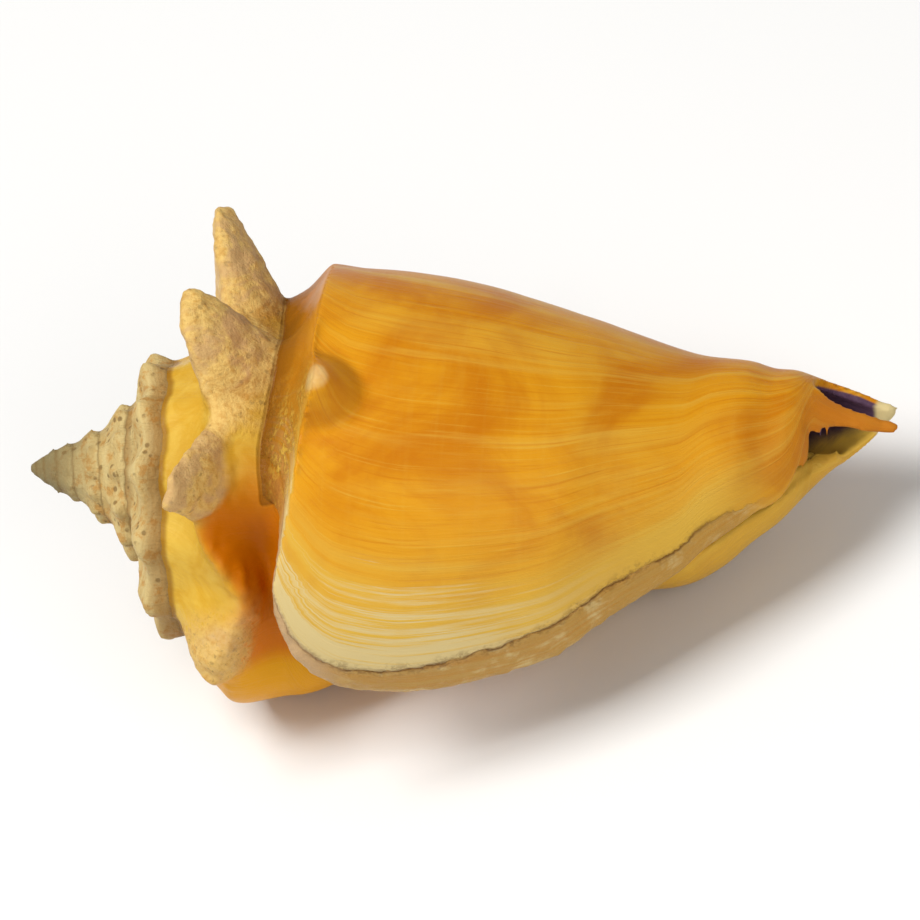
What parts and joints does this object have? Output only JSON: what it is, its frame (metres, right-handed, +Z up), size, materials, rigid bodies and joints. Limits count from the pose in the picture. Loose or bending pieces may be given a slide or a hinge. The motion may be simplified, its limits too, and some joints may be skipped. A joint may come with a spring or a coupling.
{
  "type": "west indian fighting conch shell",
  "caption": "Empty right-handed sea snail shell with a spined shoulder, pointed spire, flared lip and open aperture, lying on its underside.",
  "frame": {"origin": "middle of the shell's bounding box at the surface that it lies on", "axes": "+X from the apex to the front canal, -Y towards the flared lip, +Z up"},
  "size_m": [0.086, 0.048, 0.0464],
  "materials": {
    "shell": "glossy amber orange with cream spines and spire"
  },
  "bodies": {
    "root": {"conch_shell": "shell"}
  },
  "joints": []
}
